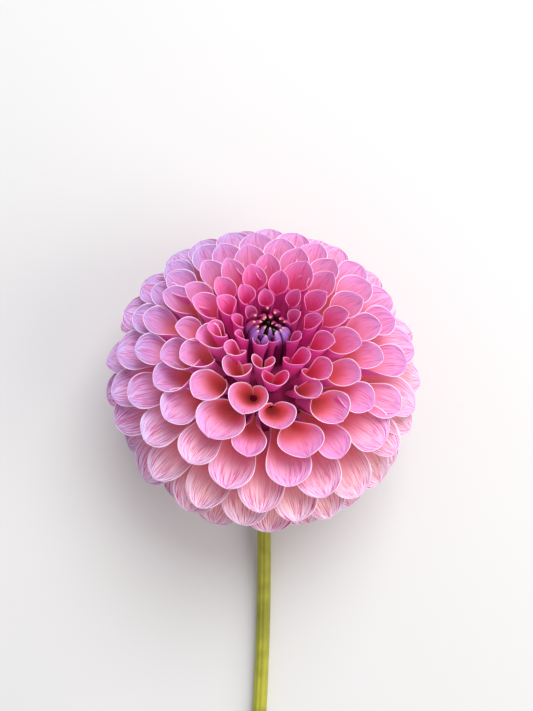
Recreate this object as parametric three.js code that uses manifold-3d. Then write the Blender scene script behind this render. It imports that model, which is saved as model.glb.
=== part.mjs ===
// Ball dahlia, cut and laid on its back: florets in spirals round a heart of closed buds,
// a green calyx behind them, and a bent stem. Millimetres, +Z up, standing on z = 0.
import * as THREE from 'three';
import { mergeVertices } from 'three/addons/utils/BufferGeometryUtils.js';
import Module from 'manifold-3d';

const wasm = await Module();
wasm.setup();

const RAD = Math.PI / 180;

// ---- Driving dimensions -------------------------------------------------------------

// The bloom is a flattened ball, measured to the tips of its florets.
const BLOOM_RADIUS = 50.4;
const BLOOM_DEPTH = 39.9;
const BLOOM_HEIGHT = 38.2;
const NOD = 30;
const LEAN = 3.2;

// The florets follow the golden angle, each a little further from the eye than the last.
const GOLDEN_ANGLE = 137.508;
const FIRST_AZIMUTH = 243.8;
const SPREAD = 0.583;
const BACK_SPREAD = 7.2;
const BACK_POWER = 5.35;
const FLORETS = 180;
const FIRST_RAY = 13;
const FULLER_SIDE = [9.0, -4.6];
const EYE_DEPTH = 9.0;
const EYE_WIDTH = 13;
const EYE_CLOSENESS = 2.4;

// Some florets are pushed out of their place by others: degrees round the eye, degrees away
// from it, and how much broader they are than the rule says.
const PUSHED = {
  31: [0, 0, 0.1], 34: [0, 0, 0.12], 38: [2, 2, 0.2], 39: [-6, 4, 0.15], 42: [-2, -5, 0],
  44: [-4, 1, -0.05], 45: [-7, 1, 0], 47: [0, 1, 0.04], 50: [-6, -3, 0.1], 52: [4, 0, -0.14],
  55: [-3, -6, 0], 60: [3, 2, -0.12], 63: [-11, -2, 0], 65: [1, 4, 0], 66: [-7, 3, 0],
  68: [1, -5, 0.22], 70: [6, -4, 0], 73: [-1, 5, 0], 76: [-5, -7, 0], 78: [0, -5, 0],
  79: [-5, 3, 0], 81: [-6, 1, -0.1], 84: [-5, -1, 0], 89: [1, -6, 0], 97: [-3, -5, 0],
  99: [5, -3, 0.1], 102: [-3, 1, 0], 110: [1, -6, 0], 112: [3, -1, 0], 115: [0, 0, 0.12],
  118: [5, -3, 0], 120: [4, 2, 0], 123: [-3, 5, 0], 125: [3, -8, 0], 139: [-3, -4, 0],
};

// The dome that the florets grow from, and the smaller core that fills their depth.
const DOME_RADIUS = 13;
const DOME_TOP = 14;
const DOME_BASE = -6;
const FOOT_SPREAD = 0.62;
const CORE_SHARE = 0.74;
const CORE_BACK_SHARE = 0.4;
const CORE_BACK_ANGLE = 132;
const CORE_DIMPLE = 5;
const CORE_DIMPLE_WIDTH = 22;
const CORE_STEPS = 10;
const HEART_FLOOR = 21;
const PETAL_THICK = 0.7;
const FULLNESS = 0.87;
const TUBE_CURL = 125;
const SPOON_CURL = 92;
const ROOT_WIDTH = 0.06;
const FIRST_BROAD = 30;
const LAST_BROAD = 158;
const CORE_SINK = 2.5;

// The heart, the calyx and the stem.
const HEART_RADIUS = 6.8;
const HEART_TOP = 33;
const HEART_SHIFT = -1.6;
const BUDS = 16;
const GAP = 0.3;
const CALYX_RADIUS = 9.5;
const CALYX_LENGTH = 8;
const BRACTS = 8;
const BRACT_REACH = 17;
const BRACT_THICK = 0.9;
const STEM_NECK_RADIUS = 2.15;
const STEM_CUT_RADIUS = 2.6;
const STEM_CUT = [-3.4, -150];
const STEM_SIDES = 10;
const STEM_STEPS = 16;

// How far what lies on the surface is flattened by it.
const PRESSED = 0.15;

// ---- Small helpers ------------------------------------------------------------------

const lerp = THREE.MathUtils.lerp;
const smooth = (x, from, to) => THREE.MathUtils.smoothstep(x, from, to);

// A repeatable scatter between -1 and 1 for floret n; each trait has its own stride.
function scatter(n, stride) {
  const turn = n * n * 0.618034 + n * stride;
  return 2 * (turn - Math.floor(turn)) - 1;
}

function toSolid(geometry) {
  const plain = geometry.clone();
  plain.deleteAttribute('normal');
  plain.deleteAttribute('uv');
  const merged = mergeVertices(plain, 1e-5);
  return new wasm.Manifold(new wasm.Mesh({
    numProp: 3,
    vertProperties: new Float32Array(merged.attributes.position.array),
    triVerts: new Uint32Array(merged.index.array),
  }));
}

function fromPoints(points, faces) {
  const geometry = new THREE.BufferGeometry();
  const places = points.flatMap((p) => p.toArray());
  geometry.setAttribute('position', new THREE.Float32BufferAttribute(places, 3));
  geometry.setIndex(faces.flat());
  return geometry;
}

// The largest closed skin of a joined solid: sealed hollows are filled and scraps dropped.
function outerSkin(solid) {
  const mesh = solid.getMesh();
  const count = mesh.triVerts.length / 3;
  const parent = Array.from({ length: mesh.vertProperties.length / 3 }, (_, i) => i);
  const root = (i) => {
    while (parent[i] !== i) {
      parent[i] = parent[parent[i]];
      i = parent[i];
    }
    return i;
  };
  const corner = (t, k) => mesh.triVerts[3 * t + k];
  for (let t = 0; t < count; t += 1) {
    parent[root(corner(t, 0))] = root(corner(t, 1));
    parent[root(corner(t, 1))] = root(corner(t, 2));
  }
  const point = (i) => new THREE.Vector3().fromArray(mesh.vertProperties, 3 * i);
  const volumes = new Map();
  for (let t = 0; t < count; t += 1) {
    const [a, b, c] = [0, 1, 2].map((k) => point(corner(t, k)));
    const skin = root(corner(t, 0));
    volumes.set(skin, (volumes.get(skin) ?? 0) + a.dot(b.cross(c)) / 6);
  }
  const largest = [...volumes].sort((a, b) => b[1] - a[1])[0][0];
  const kept = [];
  for (let t = 0; t < count; t += 1) {
    if (root(corner(t, 0)) === largest) kept.push([corner(t, 0), corner(t, 1), corner(t, 2)]);
  }
  const geometry = new THREE.BufferGeometry();
  geometry.setAttribute('position', new THREE.BufferAttribute(new Float32Array(mesh.vertProperties), 3));
  geometry.setIndex(kept.flat());
  return geometry.toNonIndexed();
}

// ---- The bloom's own axes -----------------------------------------------------------

const bloomCentre = new THREE.Vector3(0, 0, BLOOM_HEIGHT);
const axis = new THREE.Vector3(
  Math.sin(LEAN * RAD),
  Math.sin(NOD * RAD) * Math.cos(LEAN * RAD),
  Math.cos(NOD * RAD) * Math.cos(LEAN * RAD),
);
const right = new THREE.Vector3(1, 0, 0).addScaledVector(axis, -axis.x).normalize();
const up = new THREE.Vector3().crossVectors(axis, right);
const bloomTurn = new THREE.Matrix4().makeBasis(right, up, axis).setPosition(bloomCentre);

// ---- The rule of a floret -----------------------------------------------------------

// Where floret n ends: its azimuth, and its polar angle from the bloom's axis.
function floretPlace(n) {
  const [around, away, broader] = PUSHED[n] ?? [0, 0, 0];
  const azimuth = (FIRST_AZIMUTH - n * GOLDEN_ANGLE + 2.2 * scatter(n, 0.37) + around) * RAD;
  const even = SPREAD * n + BACK_SPREAD * (n / 140) ** BACK_POWER;
  const fuller = FULLER_SIDE[0] * Math.cos(azimuth) + FULLER_SIDE[1] * Math.sin(azimuth);
  const uneven = fuller * Math.sin(even * RAD) ** 2 * (1 - smooth(even, 75, 120));
  const scattered = 1.4 * scatter(n, 0.83) * smooth(even, 20, 50);
  const closer = EYE_CLOSENESS * (1 - smooth(n, 18, 34));
  return { azimuth, polar: even + uneven + scattered + away - closer, broader };
}

// The midrib rises from the dome, upright near the eye, and leans outwards more and more.
function floretMidrib(n, polar) {
  const theta = polar * RAD;
  const foot = 90 * RAD * (polar / 110) ** FOOT_SPREAD;
  const dimple = EYE_DEPTH * Math.exp(-((polar / EYE_WIDTH) ** 2));
  const start = new THREE.Vector2(DOME_RADIUS * Math.sin(foot), DOME_BASE + DOME_TOP * Math.cos(foot));
  const tip = new THREE.Vector2(BLOOM_RADIUS * Math.sin(theta), BLOOM_DEPTH * Math.cos(theta) - dimple);
  const lean = (polar - 16 + 33 * smooth(polar, 28, 66) + 6 * scatter(n, 0.47)) * RAD;
  const tipwards = new THREE.Vector2(Math.sin(lean), Math.cos(lean));
  const knee = tip.clone().addScaledVector(tipwards, -0.5 * tip.distanceTo(start));
  return new THREE.QuadraticBezierCurve(start, knee, tip);
}

// A floret is a leaf rolled round its midrib: a closed tube at the foot that opens into a
// cup near the eye and into a spoon further out. section(s) gives the midrib point, the
// direction towards the eye, the rolling radius and the half angle at s from foot to tip.
function floretShape(n) {
  const { azimuth, polar, broader } = floretPlace(n);
  const midrib = floretMidrib(n, polar);
  const size = FULLNESS + 0.1 * scatter(n, 0.71) + broader;
  const full = (2.1 + 4.2 * smooth(polar, 3, 42) + 3 * smooth(polar, 46, 80)) * size;
  const opens = 0.74 - 0.2 * smooth(polar, 14, 40) - 0.2 * smooth(polar, 45, 80);
  const curl = lerp(TUBE_CURL, SPOON_CURL, smooth(polar, 42, 84)) * RAD;
  const flare = lerp(1.5, 2, smooth(polar, 20, 60));
  const flat = lerp(1, 0.74, smooth(polar, 30, 60));
  const roll = 18 * scatter(n, 0.13) * RAD;
  const section = (s) => {
    const along = midrib.getTangent(s);
    const mouth = Math.max(0, (s - opens) / (1 - opens));
    const angle = curl * Math.max(0, 1 - mouth ** 1.9) ** 0.62;
    const radius = full * lerp(ROOT_WIDTH, 1, s ** flare);
    return { at: midrib.getPoint(s), inward: new THREE.Vector2(-along.y, along.x), radius, angle };
  };
  return { azimuth, roll, flat, midrib, section };
}

// A point of the floret's skin, in the bloom's axes: t runs from -1 to 1 across it, and
// lift is the distance from the middle of the petal towards the inside of the roll.
function floretPoint(shape, s, t, lift) {
  const { at, inward, radius, angle } = shape.section(s);
  const turn = angle * t + shape.roll * s;
  const across = (radius - lift) * Math.sin(turn);
  const deep = (radius - (radius - lift) * Math.cos(turn)) * shape.flat;
  const outward = at.x + inward.x * deep;
  const height = at.y + inward.y * deep;
  const [c, q] = [Math.cos(shape.azimuth), Math.sin(shape.azimuth)];
  return new THREE.Vector3(outward * c - across * q, outward * q + across * c, height);
}

// One petal as a closed solid: rows of points from the root to the tip, the same
// triangles on both faces, and a rim between them.
function petalGeometry(shape, rows, thick) {
  const points = [];
  const faces = [];
  const half = thick / 2;
  for (const lift of [half, -half]) {
    for (const [s, across] of rows) {
      for (const t of across) points.push(floretPoint(shape, s, t, lift));
    }
  }
  const side = points.length / 2;
  const starts = [];
  rows.reduce((sum, [, across]) => {
    starts.push(sum);
    return sum + across.length;
  }, 0);
  const sheet = [];
  for (let r = 0; r + 1 < rows.length; r += 1) {
    const [low, high] = [rows[r][1].length, rows[r + 1][1].length];
    let [i, j] = [0, 0];
    while (i + 1 < low || j + 1 < high) {
      const stepLow = j + 1 >= high || (i + 1 < low && (i + 0.5) / (low - 1) < (j + 0.5) / (high - 1));
      const a = starts[r] + i;
      const b = starts[r + 1] + j;
      if (stepLow) {
        sheet.push([a, b, a + 1]);
        i += 1;
      } else {
        sheet.push([a, b, b + 1]);
        j += 1;
      }
    }
  }
  const edges = new Map();
  for (const face of sheet) {
    faces.push(face);
    faces.push([face[0] + side, face[2] + side, face[1] + side]);
    face.forEach((p, k) => edges.set(`${p},${face[(k + 1) % 3]}`, [p, face[(k + 1) % 3]]));
  }
  for (const [a, b] of edges.values()) {
    if (!edges.has(`${b},${a}`)) faces.push([b, a, a + side], [b, a + side, b + side]);
  }
  return fromPoints(points, faces);
}

// ---- Bloom: core and ray florets ----------------------------------------------------

// The share of the ball that the core fills, in a direction at a polar angle in degrees.
const coreShare = (polar) => lerp(CORE_SHARE, CORE_BACK_SHARE, smooth(polar, 85, CORE_BACK_ANGLE));

// The core is a turned solid inside the florets, lower at the eye and flat at the calyx.
function corePoint(polar) {
  const share = coreShare(polar);
  const dimple = CORE_DIMPLE * Math.exp(-((polar / CORE_DIMPLE_WIDTH) ** 2));
  return new THREE.Vector2(
    share * BLOOM_RADIUS * Math.sin(polar * RAD),
    share * BLOOM_DEPTH * Math.cos(polar * RAD) - dimple,
  );
}

const coreBack = corePoint(CORE_BACK_ANGLE);

function coreSolid() {
  const profile = [new THREE.Vector2(0, coreBack.y)];
  for (let i = 0; i <= CORE_STEPS; i += 1) {
    profile.push(corePoint(lerp(CORE_BACK_ANGLE, 0, i / CORE_STEPS)));
  }
  const turned = new THREE.LatheGeometry(profile, 16);
  turned.rotateX(Math.PI / 2);
  return toSolid(turned);
}

// The lowest place on the midrib where the floret has come out of the core.
function rootPlace(shape) {
  for (let s = 1; s > 0; s -= 0.01) {
    const p = shape.midrib.getPoint(s);
    const polar = Math.atan2(p.x / BLOOM_RADIUS, p.y / BLOOM_DEPTH) / RAD;
    if (p.length() < corePoint(polar).length()) return s - CORE_SINK / shape.midrib.getLength();
  }
  return 0;
}

function rayFlorets() {
  let bloom = coreSolid();
  for (let n = FIRST_RAY; n < FLORETS; n += 1) {
    const shape = floretShape(n);
    const root = rootPlace(shape);
    const narrow = [-1, 0, 1];
    const wide = n < FIRST_BROAD || n > LAST_BROAD ? narrow : [-1, -0.5, 0, 0.5, 1];
    const rows = [
      [root, narrow],
      [lerp(root, 1, 0.5), narrow],
      [lerp(root, 1, 0.82), wide],
      [1, [0]],
    ];
    bloom = bloom.add(toSolid(petalGeometry(shape, rows, PETAL_THICK)));
  }
  return bloom;
}

// ---- Heart: closed buds on a low dome, leaning in to the eye ---------------------------

function budGeometry(n) {
  const { azimuth } = floretPlace(n);
  const share = n / BUDS;
  const thick = lerp(0.7, 1.5, share);
  const reach = (HEART_RADIUS - thick - 0.3) * share;
  const top = HEART_TOP - 1.5 * (1 - share) + 0.6 * scatter(n, 0.29);
  const foot = HEART_FLOOR + 2;
  const rings = [[0, 0.8, 1], [0.55, 1, 1], [0.85, 0.6, 0.85]];
  const points = [];
  for (const [rise, width, lean] of rings) {
    for (let i = 0; i < 5; i += 1) {
      const turn = azimuth + (i * 2 * Math.PI) / 5;
      points.push(new THREE.Vector3(
        reach * lean * Math.cos(azimuth) + thick * width * Math.cos(turn),
        reach * lean * Math.sin(azimuth) + thick * width * Math.sin(turn),
        lerp(foot, top, rise),
      ));
    }
  }
  points.push(new THREE.Vector3(reach * 0.65 * Math.cos(azimuth), reach * 0.65 * Math.sin(azimuth), top));
  const faces = [[0, 2, 1], [0, 3, 2], [0, 4, 3]];
  for (let i = 0; i < 5; i += 1) {
    const j = (i + 1) % 5;
    for (const ring of [0, 5]) {
      faces.push([ring + i, ring + j, ring + 5 + j]);
      faces.push([ring + i, ring + 5 + j, ring + 5 + i]);
    }
    faces.push([10 + i, 10 + j, 15]);
  }
  return fromPoints(points, faces);
}

function heartSolid() {
  const floor = HEART_FLOOR + GAP;
  const profile = [
    new THREE.Vector2(0, floor),
    new THREE.Vector2(HEART_RADIUS, floor),
    new THREE.Vector2(HEART_RADIUS, floor + 2.5),
    new THREE.Vector2(0.6 * HEART_RADIUS, floor + 5),
    new THREE.Vector2(0, floor + 5.6),
  ];
  const turned = new THREE.LatheGeometry(profile, 14);
  turned.rotateX(Math.PI / 2);
  let heart = toSolid(turned);
  for (let n = 0; n < BUDS; n += 1) heart = heart.add(toSolid(budGeometry(n)));
  return heart.translate([0, HEART_SHIFT, 0]);
}

// ---- Calyx: a cup behind the bloom with a ring of bent-back bracts ----------------------

const calyxTop = coreBack.y - GAP;

function bractShape(i) {
  const start = new THREE.Vector2(0.7 * CALYX_RADIUS, calyxTop - 2);
  const tip = new THREE.Vector2(BRACT_REACH, calyxTop - 11 + scatter(i, 0.41));
  const midrib = new THREE.QuadraticBezierCurve(start, new THREE.Vector2(tip.x, start.y), tip);
  const section = (s) => {
    const along = midrib.getTangent(s);
    const angle = 0.42 * Math.sqrt(Math.sin(Math.PI * lerp(0.2, 1, s)));
    return { at: midrib.getPoint(s), inward: new THREE.Vector2(-along.y, along.x), radius: 7, angle };
  };
  return { azimuth: (i * 2 * Math.PI) / BRACTS, roll: 0, flat: 1, midrib, section };
}

function calyxSolid() {
  const low = calyxTop - CALYX_LENGTH;
  const profile = [
    new THREE.Vector2(0, low),
    new THREE.Vector2(STEM_NECK_RADIUS + 0.4, low),
    new THREE.Vector2(0.55 * CALYX_RADIUS, low + 0.45 * CALYX_LENGTH),
    new THREE.Vector2(CALYX_RADIUS, calyxTop - 2.2),
    new THREE.Vector2(CALYX_RADIUS, calyxTop),
    new THREE.Vector2(0, calyxTop),
  ];
  const turned = new THREE.LatheGeometry(profile, 16);
  turned.rotateX(Math.PI / 2);
  let calyx = toSolid(turned);
  const rows = [[0, [-1, 0, 1]], [0.35, [-1, 0, 1]], [0.75, [-1, 0, 1]], [1, [0]]];
  for (let i = 0; i < BRACTS; i += 1) {
    calyx = calyx.add(toSolid(petalGeometry(bractShape(i), rows, BRACT_THICK)));
  }
  return calyx;
}

// ---- Stem: leaves the calyx along the bloom's axis and bends down to the surface --------

const stemTop = new THREE.Vector3(0, 0, calyxTop - CALYX_LENGTH - GAP).applyMatrix4(bloomTurn);
const stemRest = STEM_CUT_RADIUS - PRESSED;
const stemLine = new THREE.CubicBezierCurve3(
  stemTop,
  stemTop.clone().addScaledVector(axis, -22),
  new THREE.Vector3(3.5, -60, stemRest),
  new THREE.Vector3(...STEM_CUT, stemRest),
);

function stemGeometry() {
  const points = [];
  const faces = [];
  for (let i = 0; i <= STEM_STEPS; i += 1) {
    const share = (i / STEM_STEPS) ** 1.4;
    const at = stemLine.getPoint(share);
    const along = stemLine.getTangent(share);
    const side = new THREE.Vector3(1, 0, 0).addScaledVector(along, -along.x).normalize();
    const over = new THREE.Vector3().crossVectors(along, side);
    const radius = lerp(STEM_NECK_RADIUS, STEM_CUT_RADIUS, share);
    for (let k = 0; k < STEM_SIDES; k += 1) {
      const turn = ((k + 0.5) * 2 * Math.PI) / STEM_SIDES;
      const sideways = side.clone().multiplyScalar(radius * Math.cos(turn));
      const upwards = over.clone().multiplyScalar(radius * Math.sin(turn));
      points.push(at.clone().add(sideways).add(upwards));
    }
  }
  const last = STEM_STEPS * STEM_SIDES;
  for (let k = 0; k < STEM_SIDES; k += 1) {
    const next = (k + 1) % STEM_SIDES;
    for (let ring = 0; ring < last; ring += STEM_SIDES) {
      faces.push([ring + k, ring + next, ring + STEM_SIDES + next]);
      faces.push([ring + k, ring + STEM_SIDES + next, ring + STEM_SIDES + k]);
    }
    if (k > 0 && next > 0) faces.push([0, next, k], [last, last + k, last + next]);
  }
  return fromPoints(points, faces);
}

// ---- The finished flower ----------------------------------------------------------------

const slab = new THREE.BoxGeometry(600, 600, 60);
slab.translate(0, 0, -30);
const surface = toSolid(slab);

const heartRoom = new THREE.CylinderGeometry(HEART_RADIUS + GAP, HEART_RADIUS + GAP, 40, 14);
heartRoom.rotateX(Math.PI / 2);
heartRoom.translate(0, HEART_SHIFT, HEART_FLOOR + 20);

const pieces = [
  ['ray_florets', rayFlorets().subtract(toSolid(heartRoom)).transform(bloomTurn.elements), 0xe58fa8],
  ['heart_florets', heartSolid().transform(bloomTurn.elements), 0x7d3f86],
  ['calyx', calyxSolid().transform(bloomTurn.elements), 0x7d9440],
  ['stem', toSolid(stemGeometry()), 0xa3b254],
];

const flower = new THREE.Group();
for (const [name, solid, color] of pieces) {
  const geometry = outerSkin(solid.subtract(surface));
  geometry.computeVertexNormals();
  const look = new THREE.MeshStandardMaterial({ color, roughness: 0.55, metalness: 0 });
  const mesh = new THREE.Mesh(geometry, look);
  mesh.name = name;
  flower.add(mesh);
}

// The origin is at the middle of the flower's outline, on the surface it lies on.
const middle = new THREE.Box3().setFromObject(flower).getCenter(new THREE.Vector3());
flower.position.set(-middle.x, -middle.y, 0);

export default flower;
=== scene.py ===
# %% [markdown]
# # A ball dahlia, cut and laid on its back
#
# A ball dahlia is a head of about 180 small flowers, the florets. Each one is a single petal
# rolled round its own midrib. They sit in spirals, so one rule with a golden angle places them
# all, and the same rule says how each one is shaped. In this lesson you write that rule as
# Geometry Nodes, and then you make the closed heart, the green calyx and the bent stem.

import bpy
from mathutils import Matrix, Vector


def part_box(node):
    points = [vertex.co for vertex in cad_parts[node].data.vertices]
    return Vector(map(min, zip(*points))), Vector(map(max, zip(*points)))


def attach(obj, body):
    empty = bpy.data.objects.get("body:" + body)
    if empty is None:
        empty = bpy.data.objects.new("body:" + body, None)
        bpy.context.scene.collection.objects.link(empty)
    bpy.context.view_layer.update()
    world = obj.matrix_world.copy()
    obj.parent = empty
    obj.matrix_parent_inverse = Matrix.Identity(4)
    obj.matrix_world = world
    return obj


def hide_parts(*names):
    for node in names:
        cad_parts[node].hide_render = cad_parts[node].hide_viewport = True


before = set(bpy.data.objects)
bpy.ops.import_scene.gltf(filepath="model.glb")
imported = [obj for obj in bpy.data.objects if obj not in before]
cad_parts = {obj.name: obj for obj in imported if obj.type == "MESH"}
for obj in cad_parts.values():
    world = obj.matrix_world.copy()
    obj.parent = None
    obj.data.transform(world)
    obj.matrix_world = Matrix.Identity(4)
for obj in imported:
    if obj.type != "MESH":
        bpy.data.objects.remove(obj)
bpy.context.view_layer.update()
print("frame nodes:", sorted(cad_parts))

# %% [markdown]
# ## Where the flower lies
#
# The flower lies on the floor with its stem along -Y. Its face looks up, and nods 30 degrees
# towards +Y. Everything in the bloom is made round the bloom's own axis first, because a petal
# is easy to describe there: how far out, how high, and at which angle round the eye.

# %% The bloom's own axes
import math

import bmesh
import bpy
import numpy as np
from mathutils import Matrix, Vector

MM = 0.001
NOD = math.radians(30)
LEAN = math.radians(3.2)
BLOOM_CENTRE = Vector((0.063, 51.277, 38.2)) * MM

axis = Vector((math.sin(LEAN), math.sin(NOD) * math.cos(LEAN), math.cos(NOD) * math.cos(LEAN)))
right = (Vector((1, 0, 0)) - axis * axis.x).normalized()
up = axis.cross(right)
bloom_turn = Matrix.Translation(BLOOM_CENTRE) @ Matrix((right, up, axis)).transposed().to_4x4()

florets_low, florets_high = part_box("ray_florets")
print("bloom centre", tuple(round(v / MM, 1) for v in BLOOM_CENTRE), "mm")
print("florets' box", [tuple(round(v / MM, 1) for v in p) for p in (florets_low, florets_high)])

# %% [markdown]
# ## The camera
#
# The camera looks straight down on the bloom from 250 mm, as you would look at a flower that
# you hold in your hand. From so near, the front cups look larger than the back ones, which a
# distant camera would lose.

# %% Camera
VIEW_DISTANCE = 250 * MM
VIEW_OFFSET = Vector((0.96, 6.3, 0)) * MM
# The focal length, as a share of the picture's longer side.
FOCAL_SHARE = 779 / 711
SENSOR = 36.0
NEAREST_SEEN = 10 * MM

lens = bpy.data.cameras.new("view")
lens.sensor_width = SENSOR
lens.lens = FOCAL_SHARE * SENSOR
lens.clip_start = NEAREST_SEEN
camera = bpy.data.objects.new("view", lens)
camera.location = BLOOM_CENTRE + VIEW_OFFSET + Vector((0, 0, VIEW_DISTANCE))
bpy.context.scene.collection.objects.link(camera)
bpy.context.scene.camera = camera
print("camera at", tuple(round(v, 3) for v in camera.location), "lens", round(lens.lens, 1))

# %% [markdown]
# ## The light
#
# A large soft lamp does what an overcast sky does: it lights the cups of the petals without
# hard shadows. A second, weaker lamp fills the other side, and a faint light from all round
# keeps the hollows from going black. A small lamp would be simpler, but it would draw a hard
# shadow behind every petal.

# %% Lamps and the light from all round
LAMP_SIZE = 0.7
# Each lamp's place in metres, its power in watts and its colour.
LAMPS = {
    "sky": ((0.25, 0.7, 0.95), 12.2, (0.94, 0.96, 1.0)),
    "fill": ((0.75, -0.1, 0.6), 4.0, (1.0, 0.95, 0.9)),
}
WORLD_COLOUR = (0.9, 0.93, 1.0, 1)
WORLD_STRENGTH = 0.46


def soft_lamp(name, place, power, tint):
    """A square area lamp aimed at the bloom."""
    data = bpy.data.lights.new(name, "AREA")
    data.size = LAMP_SIZE
    data.energy = power
    data.color = tint
    lamp = bpy.data.objects.new(name, data)
    lamp.location = place
    aim = BLOOM_CENTRE - Vector(place)
    lamp.rotation_euler = aim.to_track_quat("-Z", "Y").to_euler()
    bpy.context.scene.collection.objects.link(lamp)


for name, (place, power, tint) in LAMPS.items():
    soft_lamp(name, place, power, tint)
    print(name, "lamp:", power, "W")

world = bpy.data.worlds.new("studio")
world.use_nodes = True
background = world.node_tree.nodes["Background"]
background.inputs["Color"].default_value = WORLD_COLOUR
background.inputs["Strength"].default_value = WORLD_STRENGTH
bpy.context.scene.world = world
bpy.context.scene.view_settings.view_transform = "Standard"


# %% [markdown]
# ## Node maths as Python
#
# A petal's rule has a few dozen sums in it. Wired by hand they are unreadable, so a small class
# wraps a socket and lets Python's own operators add the Math nodes. It works in a material and
# in Geometry Nodes alike, because both use the same Math node.

# %% A socket that can do sums
NUMBER_SLACK = 0.1


class Maker:
    """Adds nodes to one tree."""

    def __init__(self, tree):
        self.tree = tree

    def node(self, kind, settings=None, inputs=None):
        """A node of a kind, with its settings set first and then its inputs set or linked."""
        made = self.tree.nodes.new(kind)
        for name, value in (settings or {}).items():
            setattr(made, name, value)
        for key, value in (inputs or {}).items():
            if isinstance(value, Signal):
                self.tree.links.new(value.socket, made.inputs[key])
            else:
                made.inputs[key].default_value = value
        return made

    def value(self, kind, settings=None, inputs=None, output=0):
        """The output of a new node, ready for sums."""
        return Signal(self, self.node(kind, settings, inputs).outputs[output])


class Signal:
    """A socket's value; arithmetic on it adds Math nodes."""

    def __init__(self, maker, socket):
        self.maker = maker
        self.socket = socket

    def math(self, operation, *others):
        inputs = dict(enumerate((self, *others)))
        return self.maker.value("ShaderNodeMath", {"operation": operation}, inputs)

    def __add__(self, other):
        return self.math("ADD", other)

    def __sub__(self, other):
        return self.math("SUBTRACT", other)

    def __mul__(self, other):
        return self.math("MULTIPLY", other)

    def __truediv__(self, other):
        return self.math("DIVIDE", other)

    def __pow__(self, other):
        return self.math("POWER", other)

    def __rsub__(self, other):
        return self.maker.value("ShaderNodeMath", {"operation": "SUBTRACT"}, {0: other, 1: self})

    def __neg__(self):
        return self * -1

    __radd__ = __add__
    __rmul__ = __mul__

    def sin(self):
        return self.math("SINE")

    def cos(self):
        return self.math("COSINE")

    def exp(self):
        return self.math("EXPONENT")

    def root(self):
        return self.math("SQRT")

    def size(self):
        return self.math("ABSOLUTE")

    def fraction(self):
        return self.math("FRACT")

    def at_least(self, other):
        return self.math("MAXIMUM", other)

    def at_most(self, other):
        return self.math("MINIMUM", other)

    def is_number(self, number):
        """1 where the signal is the whole number, else 0."""
        return self.math("COMPARE", number, NUMBER_SLACK)

    def step_up(self, low, high):
        """0 below low and 1 above high, with a smooth rise between them."""
        inputs = {"Value": self, "From Min": low, "From Max": high}
        return self.maker.value("ShaderNodeMapRange", {"interpolation_type": "SMOOTHSTEP"}, inputs)


def between(low, high, share):
    """From low at share 0 to high at share 1."""
    return low + (high - low) * share


# %% [markdown]
# ## The rule of a floret
#
# Floret number n sits a golden angle further round than the last, and a little further from
# the eye. Its petal is a sheet that is bent round a circle, square to the midrib: nearly the
# whole way round at the foot, so that the foot is a tube, and less and less towards the tip.
# The place where it lets go is early on the outer florets, which open into spoons, and late on
# the inner ones, which stay tubes with a small mouth.

# %% How florets differ from each other
RAD = math.pi / 180
GOLDEN_SHARE = 0.618034
# How much each trait scatters round the rule, and the stride that keeps its scatter apart from
# the others. Around, away, sway and curl are in degrees, and twist is in radians.
SCATTERED = {
    "around": (2.2, 0.37),
    "away": (1.4, 0.83),
    "sway": (2, 0.47),
    "size": (0.1, 0.71),
    "opens": (0.04, 0.53),
    "curl": (6, 0.91),
    "twist": (7 * RAD, 0.13),
}


def scatter(n, name):
    """A trait's repeatable scatter for floret n."""
    amount, stride = SCATTERED[name]
    return amount * (2 * (n * n * GOLDEN_SHARE + n * stride).fraction() - 1)


# Some florets are pushed out of their place: degrees round the eye, degrees away from it, and
# how much broader they are than the rule says.
PUSHED = {
    18: (8, -3, -0.1), 21: (-14, -4, 0), 26: (14, -6, 0), 29: (0, -3, -0.14), 31: (0, 2, 0),
    34: (3, -9, 0), 37: (0, 0, -0.1), 38: (2, 2, 0.2), 39: (-6, 2, -0.12), 42: (-2, -4, 0),
    44: (-4, 1, -0.05), 45: (-7, 1, 0), 47: (1, -8, -0.04), 50: (-6, -3, 0.1), 51: (0, 1.5, -0.08),
    52: (4, 0, -0.14), 53: (0, 2.5, -0.12), 55: (-3, -6, 0), 58: (0, 0, -0.08), 60: (3, 2, 0),
    62: (2, 0, -0.1), 63: (-11, -2, 0), 65: (0, 2, 0.15), 66: (-7, 3, 0), 68: (1, -5, 0.2),
    70: (6, -4, 0), 73: (-1, 5, 0.25), 74: (0, 3, -0.14), 76: (-5, -7, 0), 78: (0, -5, 0),
    79: (-5, 3, 0), 81: (-6, 1, -0.1), 84: (-5, -1, 0), 87: (0, 2, -0.1), 89: (1, -6, 0.3),
    91: (0, -1, -0.08), 97: (-3, -5, 0), 99: (5, -3, 0.1), 102: (-3, 1, 0), 110: (1, -6, 0),
    112: (3, -1, 0), 115: (0, 0, 0.12), 118: (5, -3, 0), 120: (4, 2, 0), 123: (-3, 5, 0),
    125: (3, -8, 0), 139: (-3, -4, 0),
}


def pushed_by(n, trait):
    """One trait of the pushes above for floret n: 0 for most florets."""
    total = 0 * n
    for number, push in PUSHED.items():
        if push[trait]:
            total = total + n.is_number(number) * push[trait]
    return total


print(len(PUSHED), "florets pushed by hand")

# %% Azimuth and angle from the eye
GOLDEN_ANGLE = 137.508
FIRST_AZIMUTH = 243.8
# Degrees from one floret to the next, and how much more of them the back florets get.
SPREAD = 0.583
BACK_SPREAD = 7.2
BACK_POWER = 5.35
BACK_FLORET = 140
# The florets reach further from the eye on the right and lower side, but not at the back.
FULLER_X, FULLER_Y = 9.0, -4.6
FULLER_ENDS = (75, 120)
# Scatter away from the eye sets in between these angles.
SCATTER_STARTS = (20, 50)
# The first tubes are drawn in towards the eye, by degrees, up to the second floret here.
DRAWN_IN = 2.4
DRAWN_FLORETS = (18, 34)


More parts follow.
